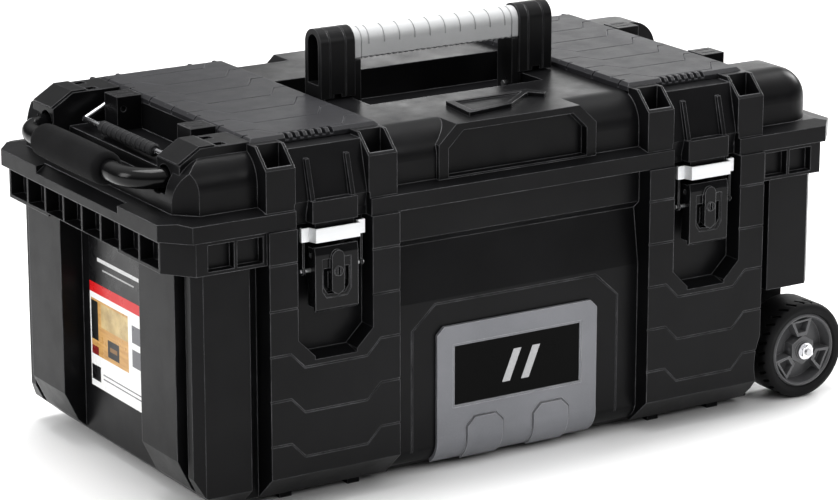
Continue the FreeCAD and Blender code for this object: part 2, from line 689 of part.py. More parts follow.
def lid_shell():
    """The lid: flange, rounded body, end recesses, handle well, posts and catches."""
    bump, bump_recess = centre_bump()
    solids = [flange(), lid_dome(0.0)] + both(bump)
    pockets = both(bump_recess)
    for centre in LATCHES.values():
        for low, high in ((-d.post_outer, -d.post_inner), (d.post_inner, d.post_outer)):
            solid, pocket = post(centre, low, high)
            solids += both(solid)
            pockets += both(pocket)
    corner = corner_post()
    corners = both(corner)
    body = fuse(*solids, *corners)
    gaps = []
    for centre in LATCHES.values():
        gaps.append(box((centre - d.recess_half, -190, 200), (centre + d.recess_half, -163, 268)))
    catches = []
    for centre in LATCHES.values():
        catches += catch_area(centre)
    rear_panels = [mirror(catch_area(centre)[0], (0, 1, 0)) for centre in LATCHES.values()]
    body = fuse(cut(body, *gaps), *catches, *rear_panels)
    cavity_keep = fuse(well_tool(3.0, d.well_floor - 3.0), *both(end_recess(3.0, 340), (1, 0, 0)))
    cavity = cut(lid_dome(d.lid_wall), cavity_keep, *both(cavity_keepers()))
    lower = prism("XY", octagon(d.lid_half_long - 6, d.lid_half_wide - 13, 17, 17), "d.flange_low - 1",
                  "d.flange_low + 3")
    tools = pockets + [cavity, lower, well_tool(0.0, d.well_floor)] + both(end_recess(0.0, 340), (1, 0, 0))
    tools += both(tube_slot()) + [hinge_clearance(centre) for centre in LATCHES.values()]
    strip = prism("XZ", [(-360, 250), (-360, 270), (-340, 263.5), (-350, 256)], -78, 78)
    tools += both(strip, (1, 0, 0))
    pin_bores = [cylinder("X", (-100, "d.carry_pivot_wide", "d.carry_pivot_height"), 3.0, 200)]
    sockets = [box((-285, y, 309), (-275, y + 9, 330)) for y in (-134, -111)]
    tools += both(fuse(*sockets))
    return cut(body, *tools, *pin_bores, seal_groove())


def cavity_keepers():
    """Solid backing behind the pocket posts and the recessed middle panel."""
    pieces = [box((-84, -160, 240), (84, -146, 330))]
    for centre in LATCHES.values():
        pieces.append(box((centre - d.post_outer - 2, -175, 282), (centre + d.post_outer + 2, -143, 330)))
    return fuse(*pieces)


# ---------------------------------------------------------------- trim on the lid
def panel_groove(centre, start):
    """One stepped plate edge across a top panel; start is its Y on the outer border."""
    width, drop = 1.4, 22.0
    upper = [(-62, start), (-40, start), (-29, start - drop), (34, start - drop), (49, start), (64, start)]
    lower = [(x, y - width) for x, y in reversed(upper)]
    return prism("XY", [(centre + x, y) for x, y in upper + lower], "d.panel_top - 1", "d.panel_top + 1")


def bevelled(low, high, bevel):
    """Section of a top panel between two borders, with its upper corners cut off."""
    return [(low, d.deck), (low, d.panel_top - bevel), (low + bevel, d.panel_top),
            (high - bevel, d.panel_top), (high, d.panel_top - bevel), (high, d.deck)]


def top_panel(centre):
    """A low plate on the lid's deck, with bevelled borders, plate edges and a comb in front."""
    low, high = sorted((math.copysign(d.panel_inner, centre), math.copysign(d.panel_outer, centre)))
    bevel, half = 3.0, d.panel_half_wide - 2
    along = prism("XZ", bevelled(low, high, bevel), -half, half)
    across = prism("YZ", bevelled(-half, half, bevel), low, high)
    pitch, first = 41.0, -107.0
    grooves = [panel_groove(centre, first + index * pitch) for index in range(7)]
    teeth = [box((centre - 27 + index * 7.2, -half - 1, "d.deck + 2"),
                 (centre - 27 + index * 7.2 + 3.6, -half + 7, "d.panel_top + 1")) for index in range(7)]
    knuckles = [box((low - 1, -123 + index * 41.0 - 1, "d.deck + 1"),
                    (low + 7, -123 + index * 41.0 + 1, "d.panel_top + 1")) for index in range(7)]
    return cut(common(along, across), *grooves, *teeth, *knuckles)


def seal_outline(offset):
    """Outline of the seal, or of its groove, at an offset."""
    return octagon(330.5 + offset, 152.5 + offset, 20, 12)


def lid_seal():
    """The soft ring between lid and rim."""
    ring = prism("XY", seal_outline(3.4), "d.flange_low + 0.1", "d.flange_low + 3")
    inside = prism("XY", seal_outline(0.0), "d.flange_low - 5", "d.flange_low + 8")
    return cut(ring, inside)


def seal_groove():
    """The seal's groove in the underside of the lid."""
    ring = prism("XY", seal_outline(3.4), "d.flange_low - 1", "d.flange_low + 3")
    inside = prism("XY", seal_outline(0.0), "d.flange_low - 5", "d.flange_low + 8")
    return cut(ring, inside)


def corner_cap():
    """A thin sloped cap on the front left corner block."""
    return prism("XZ", [(-322, 306), (-322.8, 307.4), (-302.4, 320), (-288, 320), (-288, 318.5),
                        (-302, 318.5)], -136, -100)


def bail_block(side_x, side_y):
    """The block on the floor of an end recess that carries one pivot of a bail."""
    x_low, x_high = sorted((side_x * 256.0, side_x * 280.0))
    y_low, y_high = sorted((side_y * 56.0, side_y * 80.0))
    middle = side_y * 68.0
    block = box((x_low, y_low, "d.end_recess_floor"), (x_high, y_high, "d.panel_top"))
    slots = [box((x_low + 3, middle + offset - 1, "d.panel_top - 4"), (x_high - 5, middle + offset + 1,
                 "d.panel_top + 1")) for offset in (-5, 5)]
    bore = cylinder("Y", (side_x * d.bail_pivot_long, -100, d.bail_pivot_height), "d.bail_wire + 0.05", 200)
    return cut(block, bore, *slots)


def tube_bushes():
    """Guide bushes for the two legs of the pull-out handle."""
    bush = cut(cylinder("X", (-314, "-d.tube_offset", "d.tube_height"), 12.0, 58),
               cylinder("X", (-400, "-d.tube_offset", "d.tube_height"), "d.tube_radius + 0.08", 200))
    return group(*both(bush))


def deck_clip():
    """A thin clip that lies on the deck in front of the carry handle."""
    plate = prism("XY", [(-41, -143), (8, -134.5), (44, -106), (54, -118), (59, -113), (49, -97), (-36, -97)],
                  "d.deck", "d.deck + 4")
    dish = prism("XY", [(-34, -137), (7, -129), (40, -102), (-30, -102)], "d.deck + 2.4", "d.deck + 5")
    return cut(plate, dish)


def carry_pins():
    """Two pins that join the carry handle's tongues to the side walls of the well."""
    pin = cylinder("X", (78, "d.carry_pivot_wide", "d.carry_pivot_height"), 3.0, 16.5)
    return group(*both(pin, (1, 0, 0)))


def rivets(offset_z, face, half_pitch):
    """Domed rivet heads on the hinge leaves."""
    heads = []
    for centre in LATCHES.values():
        for side in (-half_pitch, half_pitch):
            heads.append(cone("Y", (centre + side, face, offset_z), 3.2, 2.0, 1.5))
    return group(*heads)


# ---------------------------------------------------------------- carry handle
def stadium(inset, bottom):
    """Section of the carry handle's legs, in (y, z): a half-round top on straight sides."""
    half, top = d.carry_width / 2 - inset, d.carry_top - inset
    middle = d.carry_pivot_wide
    return [(middle - half, bottom), (middle - half, top - half), (middle + half, top - half, middle, top),
            (middle + half, bottom)]


def carry_leg():
    """The right leg of the carry handle with its tongue and the opening in its outer end."""
    leg = prism("YZ", stadium(0.0, d.carry_leg_low), "d.carry_leg_inner", "d.carry_leg_outer")
    opening = prism("YZ", stadium(5.0, d.carry_leg_low + 12),
                    "d.carry_leg_outer - 16", "d.carry_leg_outer + 1")
    slot = prism("YZ", stadium(9.0, d.carry_leg_low + 20), "d.carry_leg_inner + 8", "d.carry_leg_outer + 1")
    seams = [cut(prism("YZ", stadium(-1.0, 300), x, x + 1.2), prism("YZ", stadium(0.8, 290), x - 1, x + 3))
             for x in (96.0, 112.0)]
    notch = box((101, -30, 310), (109, 2, 318))
    eye = cylinder("X", (80, "d.carry_pivot_wide", "d.carry_pivot_height"), 12.0, 9.5)
    tongue = box((80, "d.carry_pivot_wide - 12", "d.carry_pivot_height"),
                 (89.5, "d.carry_pivot_wide + 12", 346))
    bore = cylinder("X", (70, "d.carry_pivot_wide", "d.carry_pivot_height"), 3.05, 30)
    return cut(fuse(cut(leg, opening, slot, notch, *seams), eye, tongue), bore)


def carry_core():
    """The bar inside the grip that joins the two legs."""
    middle = d.carry_pivot_wide
    return box((-d.carry_leg_inner - 1, middle - 6, 353), (d.carry_leg_inner + 1, middle + 6, 367))


def carry_frame():
    """Both legs of the carry handle and the bar between them."""
    leg = carry_leg()
    return fuse(leg, mirror(leg, (1, 0, 0)), carry_core())


def grip_section(inset):
    """Section of the carry handle's grip, in (y, z): a half-round top on upright sides."""
    half, low, top, middle = 12.0 - inset, d.grip_low + inset, d.grip_top - inset, d.carry_pivot_wide
    return [(middle - half, low + 1.5), (middle - half, top - half), (middle + half, top - half, middle, top),
            (middle + half, low + 1.5), (middle + half - 1.5, low), (middle - half + 1.5, low)]


def carry_grip():
    """The grip: a smooth lower half and a row of pads over its top, between two collars."""
    body = prism("YZ", grip_section(0.0), -86.9, 86.9)
    split = 359.0
    lines = []
    for index in range(10):
        x = -72 + index * 16.0
        lines.append(common(cut(prism("YZ", grip_section(-1.0), x - 0.7, x + 0.7),
                                prism("YZ", grip_section(0.9), x - 2, x + 2)),
                            box((x - 3, -40, split), (x + 3, 20, 400))))
    for x in (-79.5, 79.5):
        lines.append(cut(prism("YZ", grip_section(-1.0), x - 0.6, x + 0.6),
                         prism("YZ", grip_section(0.8), x - 2, x + 2)))
    teeth = [box((-78 + index * 6.0, -30, "d.grip_low - 1"), (-75 + index * 6.0, 2, "d.grip_low + 1.6"))
             for index in range(26)]
    return cut(body, carry_core(), *lines, *teeth)


# ---------------------------------------------------------------- pull-out handle
def bent_bar(radius):
    """The U-shaped path of the pull-out handle swept as a solid round bar."""
    bend, leg, end, bar = d.bend_radius, d.tube_offset, d.tube_inner_end, -d.bar_offset
    reach = bend * (1 - math.sqrt(0.5))
    path = doc.addObject("Sketcher::SketchObject", "path")
    place(path, (0, 0, "d.tube_height"))
    stations = [(end, -leg), (bar + bend, -leg), (bar, -leg + bend, bar + reach, -leg + reach),
                (bar, leg - bend), (bar + bend, leg, bar + reach, leg - reach), (end, leg)]
    for edge in outline_edges(stations)[1:]:
        path.addGeometry(edge)
    circle = doc.addObject("Part::Circle", "circle")
    place(circle, ("d.tube_inner_end", "-d.tube_offset", "d.tube_height"), TURNS["X"])
    bind(circle, Radius=radius)
    sweep = doc.addObject("Part::Sweep", "sweep")
    sweep.Sections = [circle]
    sweep.Spine = (path, ["Edge%d" % number for number in range(1, len(stations))])
    sweep.Solid = True
    return sweep


def pull_tube():
    """The bent tube of the pull-out handle."""
    return cut(bent_bar("d.tube_radius"), bent_bar("d.tube_bore"))


def foam_grip():
    """A soft sleeve with rounded ends on the bar of the pull-out handle."""
    half, radius, bore = d.foam_half, d.foam_radius, d.tube_radius
    soft = 5.0
    diagonal = soft * (1 - math.sqrt(0.5))
    return revolve([
        (bore, -half), (radius - soft, -half), (radius, -half + soft, radius - diagonal, -half + diagonal),
        (radius, half - soft), (radius - soft, half, radius - diagonal, half - diagonal), (bore, half),
    ], ("-d.bar_offset", 0, "d.tube_height"), "Y")


def tube_plugs():
    """Plugs in the inner ends of the tube, with a flange that stops the handle in the bushes."""
    plug = fuse(cylinder("X", ("d.tube_inner_end - 14", "-d.tube_offset", "d.tube_height"),
                         "d.tube_bore", 14),
                cylinder("X", ("d.tube_inner_end", "-d.tube_offset", "d.tube_height"), 10.5, 4))
    return group(*both(plug))


# ---------------------------------------------------------------- end bails
def rod(start, end, radius):
    """A round wire between two points in the XZ plane at one Y, with a ball at each end."""
    direction = V(*end) - V(*start)
    wire = doc.addObject("Part::Cylinder", "wire")
    wire.Placement = FreeCAD.Placement(V(*start), FreeCAD.Rotation(V(0, 0, 1), direction))
    bind(wire, Radius=radius, Height=direction.Length)
    pieces = [wire]
    for point in (start, end):
        ball = doc.addObject("Part::Sphere", "ball")
        place(ball, point)
        bind(ball, Radius=radius)
        pieces.append(ball)
    return pieces


def bail_wire(side):
    """A wire bail: two pivots, two arms and the bar that carries the grip."""
    pivot_x, bar_x = side * d.bail_pivot_long, side * d.bail_bar_long
    pieces = []
    for y_sign in (-1, 1):
        y = y_sign * d.bail_arm_wide
        pieces += rod((pivot_x, y, d.bail_pivot_height), (bar_x, y, d.bail_bar_height), "d.bail_wire")
        y_low = min(y, y_sign * 62.0)
        pieces.append(cylinder("Y", (pivot_x, y_low, "d.bail_pivot_height"),
                               "d.bail_wire", d.bail_arm_wide - 62))
    pieces.append(cylinder("Y", (bar_x, "-d.bail_arm_wide", "d.bail_bar_height"),
                           "d.bail_wire", "2 * d.bail_arm_wide"))
    return fuse(*pieces)


def bail_grip(side):
    """A ribbed sleeve on the bail's bar."""
    half, ribs = d.bail_grip_half, 11
    pitch = 2 * half / ribs
    profile = [(d.bail_wire, -half)]
    for index in range(ribs):
        start = -half + index * pitch
        profile += [(d.bail_grip_radius - 1.6, start), (d.bail_grip_radius, start + 1.6),
                    (d.bail_grip_radius, start + pitch - 1.6),
                    (d.bail_grip_radius - 1.6, start + pitch - 0.01)]
    profile[-1] = (d.bail_grip_radius - 1.6, half)
    profile.append((d.bail_wire, half))
    return revolve(profile, (side * d.bail_bar_long, 0, "d.bail_bar_height"), "Y")


# ---------------------------------------------------------------- wheels
def tyre():
    """The front wheel's tyre: a flat tread with rounded shoulders and a notched outer edge."""
    low, high, radius, rim = -d.wheel_outer, -d.wheel_inner, d.wheel_radius, d.rim_radius
    ring = revolve([
        (rim, low + 2), (rim + 1.5, low + 0.5), (radius - 6, low),
        (radius, low + 6, radius - 1.757, low + 1.757),
        (radius, high - 6), (radius - 6, high, radius - 1.757, high - 1.757),
        (rim + 1.5, high - 0.5), (rim, high - 2),
    ], ("d.wheel_long", 0, "d.wheel_radius"), "Y")
    notches = []
    for index in range(30):
        angle = 2 * math.pi * index / 30
        notch = box((-1.5, 0, 0), (1.5, 11, 6))
        depth = radius - 2.2
        centre = V(d.wheel_long + depth * math.sin(angle), low + 3, radius + depth * math.cos(angle))
        turn = FreeCAD.Rotation(V(0, 1, 0), math.degrees(angle)).multiply(FreeCAD.Rotation(V(0, 0, 1), 25))
        notch.Placement = FreeCAD.Placement(centre + turn.multVec(V(-1.5, 0, 0)), turn)
        notches.append(notch)
    return cut(ring, *notches)


def spoke_block(angle, inset, low, high):
    """A wedge-shaped block between hub and rim, seen along the axle."""
    radii = (15.0 + inset, 31.5 - inset)
    spread = (math.radians(20) - inset / radii[0] * 0.7, math.radians(22) - inset / radii[1])
    points = []
    for end, side in ((0, -1), (1, -1), (1, 1), (0, 1)):
        radius, turn = radii[end], angle + side * spread[end]
        points.append((d.wheel_long + radius * math.sin(turn), d.wheel_radius + radius * math.cos(turn)))
    return prism("XZ", points, low, high)


def hub():
    """The front wheel's hub: rim, web, hexagonal boss and three hollow blocks."""
    low, high = -d.wheel_outer, -d.wheel_inner
    rim, bore = d.rim_radius, d.hub_bore
    turned = revolve([
        (bore, low + 1), (8.5, low + 1), (9.5, low + 4), (12.5, low + 8), (12.5, low + 15), (29.5, low + 15),
        (31.5, low + 2.5), (33, low + 0.8), (rim, low + 2.5), (rim, high - 2.5), (32, high - 2.5),
        (32, high - 21), (13, high - 21), (13, high - 1), (bore, high - 1),
    ], ("d.wheel_long", 0, "d.wheel_radius"), "Y")
    angles = [math.radians(-4 + 120 * index) for index in range(3)]
    blocks = [spoke_block(angle, 0.0, low + 3, low + 16) for angle in angles]
    pockets = [spoke_block(angle, 2.8, low + 2, low + 11) for angle in angles]
    boss = prism("XZ", hexagon(14.0), low + 3, low + 15)
    bore_tool = cylinder("Y", ("d.wheel_long", -200, "d.wheel_radius"), "d.hub_bore", 100)
    return cut(fuse(turned, boss, *blocks), bore_tool, *pockets)


# ---------------------------------------------------------------- latches
def lever(centre):
    """The latch lever: a framed front with a deep pocket, two cheeks and a lock boss."""
    half, face = d.lever_half, -d.lever_face
    plate = prism("YZ", [
        (face + 1.5, d.lever_low), (face, d.lever_low + 2), (face, 222), (face + 1.5, d.lever_top),
        (face + 3.5, d.lever_top), (face + 3.5, d.lever_low)], centre - half, centre + half)
    cheeks = [box((centre + low, -173, 176), (centre + low + 6, -163, 228)) for low in (-half, half - 6)]
    backing = box((centre - half, -173, 176), (centre + half, -165, 211))

    def pocket(inset, low, front, back):
        wide, narrow = 14.0 - inset, 10.0 - inset
        return prism("XZ", [
            (centre - wide, low + 6), (centre - wide, 218 - inset), (centre + wide, 218 - inset),
            (centre + wide, low + 6), (centre + narrow, low), (centre - narrow, low)], front, back)
    shallow = pocket(0.0, 184, face - 1, face + 1.3)
    deep = common(pocket(1.6, 187, face - 1, -169.5),
                  box((centre - 20, -190, 180), (centre + 20, -160, 209.5)))
    boss = prism("XZ", [
        (centre - 6, 190), (centre - 6, 219), (centre + 6, 219, centre, 225), (centre + 6, 190),
        (centre, 186),
    ], -178.5, face + 2)
    stem = box((centre - 5, -178, 191), (centre + 5, -168, 205))
    dome = cylinder("Y", (centre, -180, 207), 4.2, 4)
    hole = box((centre - 1.2, -181, 203.5), (centre + 1.2, -177, 210.5))
    bores = [cylinder("X", (centre - 30, "-d.lever_pivot_depth", "d.lever_pivot_height"), 2.05, 60),
             cylinder("X", (centre - 30, "-d.strap_pivot_depth", "d.strap_pivot_height"), 1.75, 60)]
    frame = cut(fuse(plate, *cheeks, backing), shallow, deep)
    return cut(fuse(frame, boss, stem, dome), hole, *bores)


def strap_pins(centre):
    """Two short pins in the lever's cheeks that carry the strap."""
    pins = []
    for low in (-31.0, 15.0):
        pins.append(cylinder("X", (centre + low, "-d.strap_pivot_depth", "d.strap_pivot_height"), 1.75, 16))
    return group(*pins)


def strap(centre):
    """The silver strap that pulls on the lid: a bent band across the front of the latch."""
    face, thick = -d.strap_face, 1.5
    outer = [(-d.strap_half, -167), (-d.strap_half, -170.5), (-24, -170.5), (-21.4, face),
             (21.4, face), (24, -170.5), (d.strap_half, -170.5), (d.strap_half, -167)]
    inner = [(d.strap_half - 1.6, -167), (d.strap_half - 1.6, -170.5 + thick), (23, -170.5 + thick),
             (20.2, face + thick), (-20.2, face + thick), (-23, -170.5 + thick),
             (-d.strap_half + 1.6, -170.5 + thick), (-d.strap_half + 1.6, -167)]
    return prism("XY", [(centre + x, y) for x, y in outer + inner], "d.strap_low", "d.strap_top")


def strap_links(centre):
    """The two dark links that join the strap to the pins in the lever's cheeks."""
    links = []
    for side in (-1, 1):
        low, high = sorted((centre + side * 27.2, centre + side * 29.4))
        link = fuse(box((low, -168.9, 208), (high, -164.4, "d.strap_top - 1")),
                    cylinder("X", (low, "-d.strap_pivot_depth", "d.strap_pivot_height"), 3.5, high - low))
        bore = cylinder("X", (low - 5, "-d.strap_pivot_depth", "d.strap_pivot_height"), 1.80, 15)
        links.append(cut(link, bore))
    return group(*links)


def latch_pins():
    """The pin on which each latch lever turns."""
    pins = [cylinder("X", (centre - 20.5, "-d.lever_pivot_depth", "d.lever_pivot_height"), 2.0, 41)
            for centre in LATCHES.values()]
    return group(*pins)


# ---------------------------------------------------------------- write
def check_and_write():
    """Stop at a failed or invalid shape, then write one STEP file per part."""
    doc.recompute()
    for feature in doc.Objects:
        if "Invalid" in feature.State or "Error" in feature.State:
            raise SystemExit("failed feature: %s %s" % (feature.Name, feature.Label))
    for label, feature in PARTS.items():
        shape = feature.Shape
        if shape.isNull() or not shape.isValid():
            raise SystemExit("bad shape: " + label)
    for label, feature in PARTS.items():
        feature.Shape.exportStep("parts/%s.step" % label)
        box_size = feature.Shape.BoundBox
        print("%-24s solids %d volume %10.0f  x %7.1f %7.1f  y %7.1f %7.1f  z %7.1f %7.1f" % (
            label, len(feature.Shape.Solids), feature.Shape.Volume, box_size.XMin, box_size.XMax,
            box_size.YMin, box_size.YMax, box_size.ZMin, box_size.ZMax))


# ---------------------------------------------------------------- all sub-parts
part("tub", tub())
part("feet", feet())
part("front_plate", front_plate())
part("badge_insert", badge_insert())
part("end_label", end_label())
part("axle", axle())
part("axle_nuts", axle_nuts())
part("axle_washers", axle_washers())
part("hinge_pins", hinge_pins())
part("latch_pins", latch_pins())
part("hinge_rivets_tub", rivets(234, d.pillar_face + 3, 20))
part("lid_shell", lid_shell())
part("lid_seal", lid_seal())
part("tube_bushes", tube_bushes())
part("deck_clip", deck_clip())
part("carry_pins", carry_pins())
part("hinge_rivets_lid", rivets(258.5, d.flange_half_wide + 3, 7))
cap = corner_cap()
part("corner_cap_front", cap)
part("corner_cap_rear", mirror(cap, (0, 1, 0)))
for side_name, centre in LATCHES.items():
    part("top_panel_" + side_name, top_panel(centre))
    part("hinge_leaf_tub_" + side_name, tub_hinge_leaf(centre))
    part("hinge_leaf_lid_" + side_name, lid_hinge_leaf(centre))
    part("latch_lever_" + side_name, lever(centre))
    part("latch_strap_" + side_name, strap(centre))
    part("latch_links_" + side_name, strap_links(centre))
    part("latch_strap_pins_" + side_name, strap_pins(centre))
    side_x = math.copysign(1, centre)
    part("bail_wire_" + side_name, bail_wire(side_x))
    part("bail_grip_" + side_name, bail_grip(side_x))
    for end_name, side_y in (("front", -1), ("rear", 1)):
        part("bail_block_%s_%s" % (side_name, end_name), bail_block(side_x, side_y))
part("carry_frame", carry_frame())
part("carry_grip", carry_grip())
part("pull_tube", pull_tube())
part("foam_grip", foam_grip())
part("tube_plugs", tube_plugs())
front_tyre, front_hub = tyre(), hub()
part("tyre_front", front_tyre)
part("tyre_rear", mirror(front_tyre, (0, 1, 0)))
part("hub_front", front_hub)
part("hub_rear", mirror(front_hub, (0, 1, 0)))
check_and_write()
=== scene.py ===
"""Looks of the rolling toolbox: materials, detailed pieces, floor, light and camera."""
import bpy
import bmesh
import json
import math
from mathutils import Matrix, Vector, noise


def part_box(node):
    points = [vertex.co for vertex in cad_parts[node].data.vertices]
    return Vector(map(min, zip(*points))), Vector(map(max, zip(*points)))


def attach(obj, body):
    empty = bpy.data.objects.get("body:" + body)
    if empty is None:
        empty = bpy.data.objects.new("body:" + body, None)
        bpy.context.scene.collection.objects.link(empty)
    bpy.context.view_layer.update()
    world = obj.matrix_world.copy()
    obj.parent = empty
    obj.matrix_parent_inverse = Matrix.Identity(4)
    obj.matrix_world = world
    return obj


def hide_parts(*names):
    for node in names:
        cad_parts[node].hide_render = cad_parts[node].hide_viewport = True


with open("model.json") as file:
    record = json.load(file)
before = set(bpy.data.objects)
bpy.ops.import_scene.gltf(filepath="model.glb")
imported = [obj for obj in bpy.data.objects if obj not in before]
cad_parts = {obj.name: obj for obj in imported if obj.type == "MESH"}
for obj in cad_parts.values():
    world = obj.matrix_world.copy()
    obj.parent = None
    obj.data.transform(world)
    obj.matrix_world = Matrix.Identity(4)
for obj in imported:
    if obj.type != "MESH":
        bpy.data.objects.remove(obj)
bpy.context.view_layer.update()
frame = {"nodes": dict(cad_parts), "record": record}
nodes = frame["nodes"]


# ---------------------------------------------------------------- material building blocks
class Nodes:
    """Short names for building a node tree."""

    def __init__(self, material):
        self.tree = material.node_tree
        self.shader = self.tree.nodes["Principled BSDF"]

    def add(self, kind, inputs=None, **settings):
        """A new node; an input is a plain value or the socket that feeds it."""
        node = self.tree.nodes.new(kind)
        for name, value in settings.items():
            setattr(node, name, value)
        for name, value in (inputs or {}).items():
            socket = node.inputs[name]
            if isinstance(value, bpy.types.NodeSocket):
                self.tree.links.new(value, socket)
            else:
                socket.default_value = value
        return node

    def link(self, output, socket):
        """Join an output to an input."""
        self.tree.links.new(output, socket)

    def position(self):
        """The point on the surface, in metres in the object's own frame."""
        return self.add("ShaderNodeTexCoord").outputs["Object"]

    def noise(self, vector, scale, detail=3.0, roughness=0.5):
        """Soft random values round 0.5."""
        node = self.add("ShaderNodeTexNoise", {"Vector": vector, "Scale": scale, "Detail": detail,
                                               "Roughness": roughness})
        return node.outputs["Fac"]

    def remap(self, value, low, high, to_low, to_high):
        """Carry the range low to high over to another range, clamped."""
        node = self.add("ShaderNodeMapRange", {"Value": value, "From Min": low, "From Max": high,
                                               "To Min": to_low, "To Max": to_high})
        return node.outputs["Result"]

    def math(self, operation, first, second):
        """Arithmetic on two values or sockets."""
        node = self.add("ShaderNodeMath", operation=operation)
        for index, value in enumerate((first, second)):
            if isinstance(value, bpy.types.NodeSocket):
                self.link(value, node.inputs[index])
            else:
                node.inputs[index].default_value = value
        return node.outputs[0]

    def mix(self, factor, first, second):
        """Blend two colours."""
        node = self.add("ShaderNodeMix", data_type="RGBA")
        for index, value in ((0, factor), (6, first), (7, second)):
            if isinstance(value, bpy.types.NodeSocket):
                self.link(value, node.inputs[index])
            elif index == 0:
                node.inputs[0].default_value = value
            else:
                node.inputs[index].default_value = (*value, 1.0)
        return node.outputs[2]

    def edge_mask(self, radius):
        """One at moulded edges and nothing on flat faces, with the rounded-off normal."""
        bevel = self.add("ShaderNodeBevel", {"Radius": radius}, samples=6)
        flat = self.add("ShaderNodeNewGeometry").outputs["Normal"]
        dot = self.add("ShaderNodeVectorMath", operation="DOT_PRODUCT")
        self.link(bevel.outputs["Normal"], dot.inputs[0])
        self.link(flat, dot.inputs[1])
        return self.remap(dot.outputs["Value"], 0.995, 0.85, 0.0, 1.0), bevel.outputs["Normal"]


def plastic(name, base, light, rough, rough_spread, grain=900.0, depth=0.00006,
            edge=0.0012, painted_edge_tone=None, metallic=0.0, stretch=(1, 1, 1), sheen=0.0,
            gloss=0.10):
    """A moulded, painted or drawn surface: tone drift, fine grain, soft edges with a painted highlight
    along them.

    grain is the fineness of the surface, depth its height in metres, edge the width of the rounded,
    painted-highlight edge in metres, the edge colour that painted highlight (painted shade where it
    is darker than the base), and gloss the specular level.
    """
    material = bpy.data.materials.new(name)
    material.use_nodes = True
    n = Nodes(material)
    place = n.add("ShaderNodeMapping", {"Vector": n.position(), "Scale": stretch}).outputs["Vector"]
    drift = n.noise(place, 9.0, 4.0, 0.6)
    fine = n.noise(place, grain, 3.0, 0.6)
    smudge = n.noise(place, 38.0, 5.0, 0.65)
    tone = n.mix(n.remap(drift, 0.35, 0.7, 0.0, 1.0), base, light)
    tone = n.mix(n.remap(fine, 0.45, 0.75, 0.0, 0.35), tone, light)
    mask, soft_normal = n.edge_mask(edge)
    # Painted highlight: the edge colour is laid on the moulded edges, broken up by noise, standing in
    # for light catching their rounds.
    painted_edge_mask = n.math("MULTIPLY", mask, n.remap(smudge, 0.35, 0.65, 0.25, 1.0))
    tone = n.mix(n.math("MULTIPLY", painted_edge_mask, 0.75), tone, painted_edge_tone or light)
    n.link(tone, n.shader.inputs["Base Color"])
    roughness = n.remap(smudge, 0.3, 0.7, rough - rough_spread, rough + rough_spread)
    n.link(roughness, n.shader.inputs["Roughness"])
    bump = n.add("ShaderNodeBump", {"Height": fine, "Normal": soft_normal, "Strength": 0.6,
                                    "Distance": depth})
    n.link(bump.outputs["Normal"], n.shader.inputs["Normal"])
    n.shader.inputs["Metallic"].default_value = metallic
    n.shader.inputs["Specular IOR Level"].default_value = gloss
    if sheen:
        n.shader.inputs["Sheen Weight"].default_value = sheen
        n.shader.inputs["Sheen Roughness"].default_value = 0.4
    return material


def label_print():
    """Plain colour blocks on the end label: dark head, red stripe, warm picture, pale foot."""
    material = bpy.data.materials.new("label_print")
    material.use_nodes = True
    n = Nodes(material)
    axes = n.add("ShaderNodeSeparateXYZ", {"Vector": n.position()})
    y, z = axes.outputs["Y"], axes.outputs["Z"]

    def band(value, low, high):
        """One where value lies between low and high."""
        return n.math("MULTIPLY", n.math("GREATER_THAN", value, low), n.math("LESS_THAN", value, high))

    def block(y_low, y_high, z_low, z_high):
        """One inside a rectangle on the label."""
        return n.math("MULTIPLY", band(y, y_low, y_high), band(z, z_low, z_high))

    planks = n.add("ShaderNodeMapping", {"Vector": n.position(), "Scale": (1, 1, 7)}).outputs["Vector"]
    wood = n.mix(n.noise(planks, 45.0, 5.0), (0.30, 0.13, 0.03), (0.70, 0.42, 0.14))
    glow = n.mix(n.noise(n.position(), 55.0, 3.0), (0.10, 0.05, 0.015), (0.80, 0.62, 0.30))
    black, white, grey = (0.004, 0.004, 0.0045), (0.80, 0.80, 0.79), (0.12, 0.12, 0.13)
    blocks = [  # y low, y high, z low, z high in metres, and the tint
        ((-0.061, 0.061, 0.157, 0.200), black),
        ((-0.061, 0.061, 0.1475, 0.157), (0.55, 0.010, 0.012)),
        ((-0.035, 0.045, 0.178, 0.1815), (0.55, 0.55, 0.55)),
        ((-0.025, 0.035, 0.171, 0.1725), (0.35, 0.35, 0.35)),
        ((-0.012, 0.059, 0.090, 0.142), wood),
        ((-0.012, 0.040, 0.118, 0.140), glow),
        ((0.046, 0.059, 0.104, 0.140), (0.006, 0.006, 0.006)),
        ((0.046, 0.059, 0.090, 0.098), (0.16, 0.01, 0.01)),
        ((0.006, 0.028, 0.094, 0.110), (0.010, 0.010, 0.011)),
        ((0.010, 0.024, 0.100, 0.104), (0.20, 0.10, 0.03)),
        ((-0.056, -0.019, 0.120, 0.136), grey),
        ((-0.056, -0.019, 0.098, 0.114), grey),
        ((0.043, 0.060, 0.066, 0.080), black),
        ((-0.050, 0.038, 0.070, 0.0712), grey),
        ((-0.050, 0.038, 0.074, 0.0752), grey),
    ]
    colour = white
    for (y_low, y_high, z_low, z_high), tint in blocks:
        colour = n.mix(block(y_low, y_high, z_low, z_high), colour, tint)
    n.link(colour, n.shader.inputs["Base Color"])
    n.shader.inputs["Specular IOR Level"].default_value = 0.25
    smudge = n.noise(n.position(), 60.0)
    n.link(n.remap(smudge, 0.3, 0.7, 0.22, 0.36), n.shader.inputs["Roughness"])
    waves = n.noise(n.position(), 45.0)
    bump = n.add("ShaderNodeBump", {"Height": waves, "Strength": 0.3, "Distance": 0.0004})
    n.link(bump.outputs["Normal"], n.shader.inputs["Normal"])
    return material


BADGE_BAR_DEPTH = -0.1591  # metres; the bars' faces lie in front of this plane


